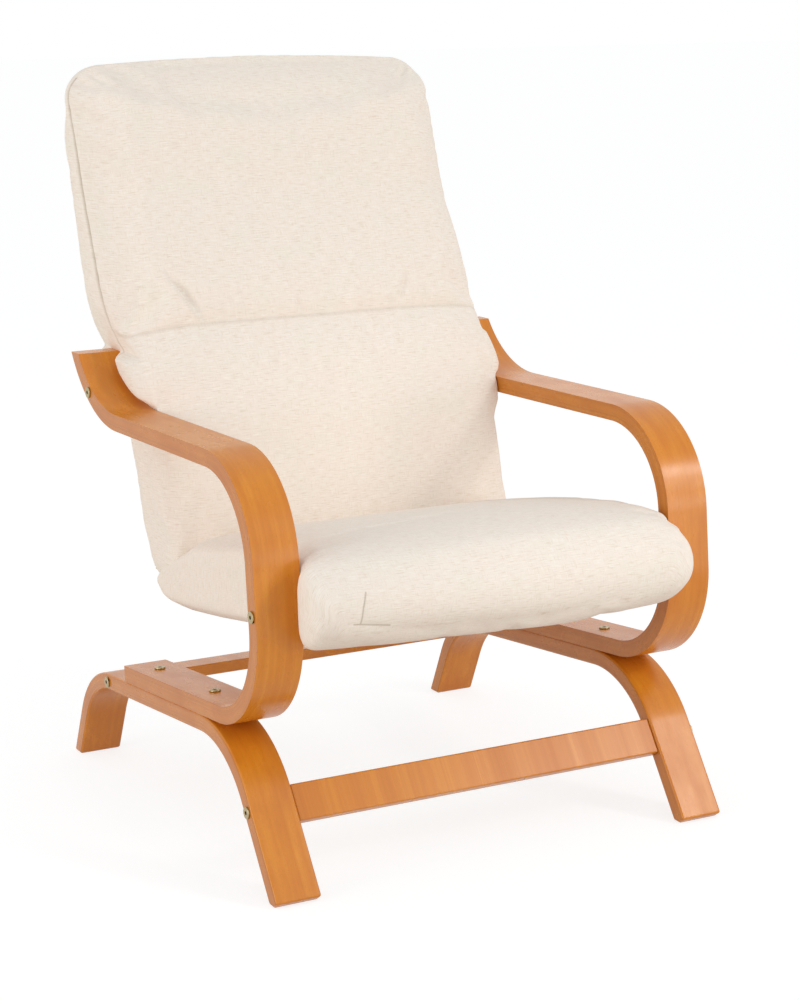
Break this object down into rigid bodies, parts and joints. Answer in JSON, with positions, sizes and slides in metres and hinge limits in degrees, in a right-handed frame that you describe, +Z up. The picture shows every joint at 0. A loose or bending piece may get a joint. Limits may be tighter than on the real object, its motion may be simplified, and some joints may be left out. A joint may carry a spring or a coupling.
{
  "type": "lounge chair",
  "caption": "Cantilever lounge chair: bent laminated wood arm bows bolted to arched leg bows carry an upholstered seat and reclined back.",
  "frame": {"origin": "on the floor under the middle of the chair's overall depth and width", "axes": "+Z up, -Y the way the sitter faces (the front of the chair), +X across the chair's width to the right as seen from the front"},
  "size_m": [0.645, 0.7996, 0.9609],
  "materials": {
    "lacquered_beech": "honey-stained bent beech laminate under satin lacquer",
    "nickel_steel": "nickel-plated steel bolts and nuts",
    "raw_pine": "sawn, unfinished softwood frame inside the upholstery",
    "jute_webbing": "woven elastic webbing bands",
    "lining_cloth": "thin non-woven lining under the seat",
    "ecru_weave": "ecru slub weave upholstery over foam"
  },
  "bodies": {
    "root": {"arm_bow_left": "lacquered_beech", "arm_bow_right": "lacquered_beech", "leg_bow_left": "lacquered_beech", "leg_bow_right": "lacquered_beech", "front_stretcher": "lacquered_beech", "rear_crossrail": "lacquered_beech", "runner_bolts": "nickel_steel", "runner_sleeve_nuts": "nickel_steel", "stretcher_bolts": "nickel_steel", "stretcher_barrel_nuts": "nickel_steel", "crossrail_bolts": "nickel_steel", "crossrail_barrel_nuts": "nickel_steel", "seat_side_bolts": "nickel_steel", "back_side_bolts": "nickel_steel", "frame_insert_nuts": "nickel_steel", "seat_side_rail_left": "raw_pine", "seat_side_rail_right": "raw_pine", "seat_front_rail": "raw_pine", "seat_rear_rail": "raw_pine", "back_stile_left": "raw_pine", "back_stile_right": "raw_pine", "back_lumbar_rail": "raw_pine", "back_top_rail": "raw_pine", "frame_dowels": "raw_pine", "seat_webbing": "jute_webbing", "back_webbing": "jute_webbing", "seat_cushion": "ecru_weave", "back_cushion": "ecru_weave", "seat_dust_cover": "lining_cloth", "back_rear_cover": "ecru_weave"}
  },
  "joints": []
}
